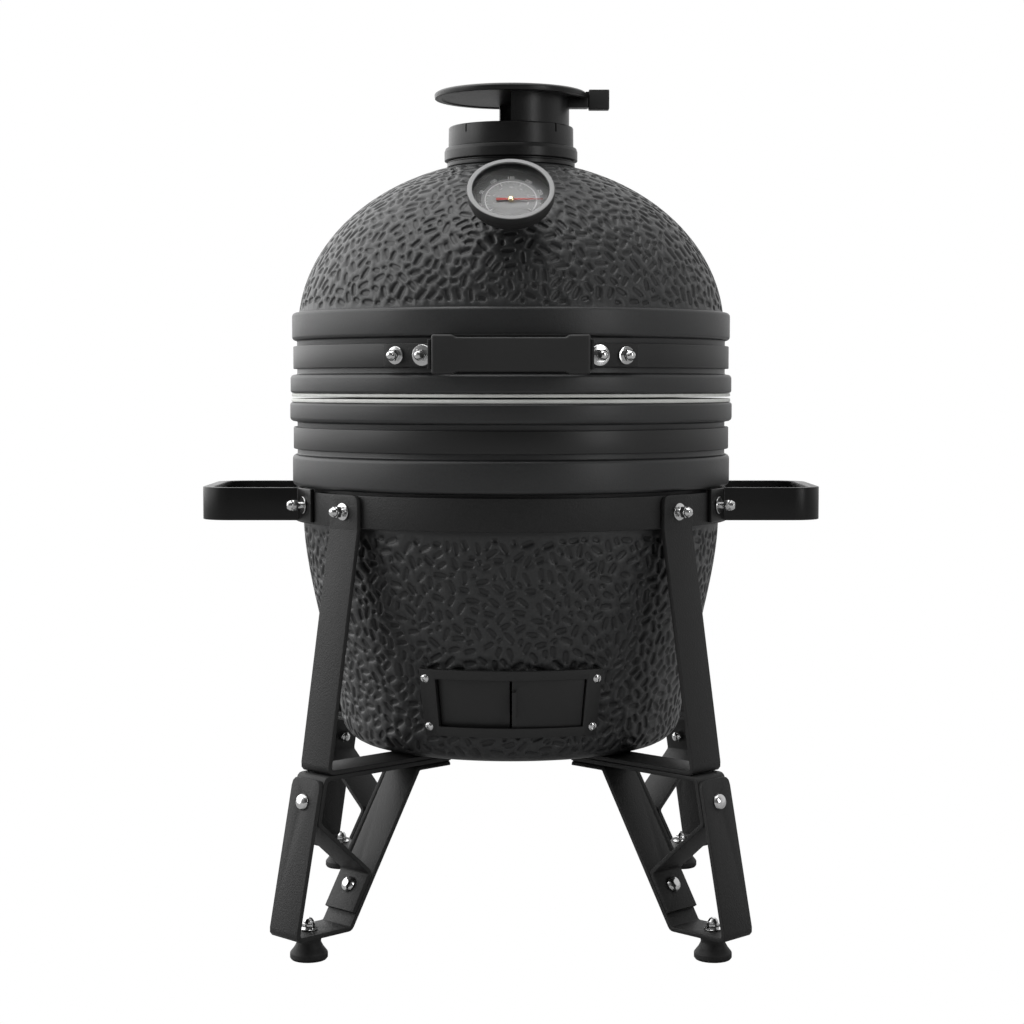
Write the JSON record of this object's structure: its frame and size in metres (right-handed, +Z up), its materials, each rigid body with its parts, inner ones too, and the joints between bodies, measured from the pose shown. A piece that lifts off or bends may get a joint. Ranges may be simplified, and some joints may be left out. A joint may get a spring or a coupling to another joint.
{
  "type": "kamado ceramic grill",
  "caption": "Egg-shaped ceramic charcoal grill with a hinged lid, vent cap, draft door, thermometer and side handles on a bent-bar stand.",
  "frame": {"origin": "on the floor under the centre of the bowl", "axes": "+Z up, -Y the front with the draft door and lift handle, +X the viewer's right"},
  "size_m": [0.602, 0.53, 0.8202],
  "materials": {
    "ceramic": "satin glazed ceramic with dimples",
    "firebrick": "matte cordierite",
    "powder": "fine textured powder coat",
    "band": "satin powder coat",
    "black_steel": "smooth black powder coat",
    "cast": "satin black cast",
    "felt": "woven felt",
    "bright": "polished stainless",
    "wire": "stainless wire",
    "rubber": "matte black rubber",
    "grip": "matte dark grey",
    "gauge": "satin",
    "dial": "printed satin dial",
    "needle": "red enamel",
    "glass": "clear"
  },
  "bodies": {
    "base": {"base_shell": "ceramic", "base_gasket": "felt", "lower_band": "band", "stand_ring": "powder", "fire_box": "firebrick", "charcoal_grate": "cast", "fire_ring": "firebrick", "cooking_grid": "wire", "draft_frame": "powder", "upper_leg_fl": "powder", "strut_bracket_fl": "powder", "foot_strap_fl": "powder", "foot_fl": "rubber", "ring_bolt_fl": "bright", "outer_bolt_fl": "bright", "inner_bolt_fl": "bright", "upper_leg_fr": "powder", "strut_bracket_fr": "powder", "foot_strap_fr": "powder", "foot_fr": "rubber", "ring_bolt_fr": "bright", "outer_bolt_fr": "bright", "inner_bolt_fr": "bright", "upper_leg_bl": "powder", "strut_bracket_bl": "powder", "foot_strap_bl": "powder", "foot_bl": "rubber", "ring_bolt_bl": "bright", "outer_bolt_bl": "bright", "inner_bolt_bl": "bright", "upper_leg_br": "powder", "strut_bracket_br": "powder", "foot_strap_br": "powder", "foot_br": "rubber", "ring_bolt_br": "bright", "outer_bolt_br": "bright", "inner_bolt_br": "bright", "side_handle_right": "black_steel", "side_handle_left": "black_steel", "hinge_lower_bracket": "powder", "hinge_pin": "bright", "hinge_spring": "bright"},
    "lid": {"lid_shell": "ceramic", "lid_gasket": "felt", "upper_band": "band", "handle_arm_right": "powder", "handle_arm_left": "powder", "handle_grip": "grip", "hinge_upper_bracket": "powder", "thermometer_case": "gauge", "thermometer_bezel": "gauge", "thermometer_dial": "dial", "thermometer_glass": "glass", "vent_base": "cast", "vent_scale_ring": "cast"},
    "needle": {"thermometer_needle": "needle"},
    "hood": {"vent_hood": "cast", "vent_knob": "grip"},
    "door_right": {"draft_door_right": "powder"},
    "door_left": {"draft_door_left": "powder"}
  },
  "joints": [
    {"name": "lid_hinge", "type": "hinge", "parent": "base", "child": "lid", "pos_m": [0, 0.251, 0.5168], "axis": [-1, 0, 0], "range_deg": [0, 75]},
    {"name": "needle_turn", "type": "hinge", "parent": "lid", "child": "needle", "pos_m": [0, -0.1945, 0.70123], "axis": [0, -0.7431, 0.6691], "range_deg": [-45, 225]},
    {"name": "vent_turn", "type": "hinge", "parent": "lid", "child": "hood", "pos_m": [0, 0, 0.77], "axis": [0, 0, 1], "range_deg": [-180, 0]},
    {"name": "draft_right_slide", "type": "hinge", "parent": "base", "child": "door_right", "pos_m": [0, 0, 0.236], "axis": [0, 0, 1], "range_deg": [-20.8, 0]},
    {"name": "draft_left_slide", "type": "hinge", "parent": "base", "child": "door_left", "pos_m": [0, 0, 0.236], "axis": [0, 0, 1], "range_deg": [0, 20.8]}
  ]
}
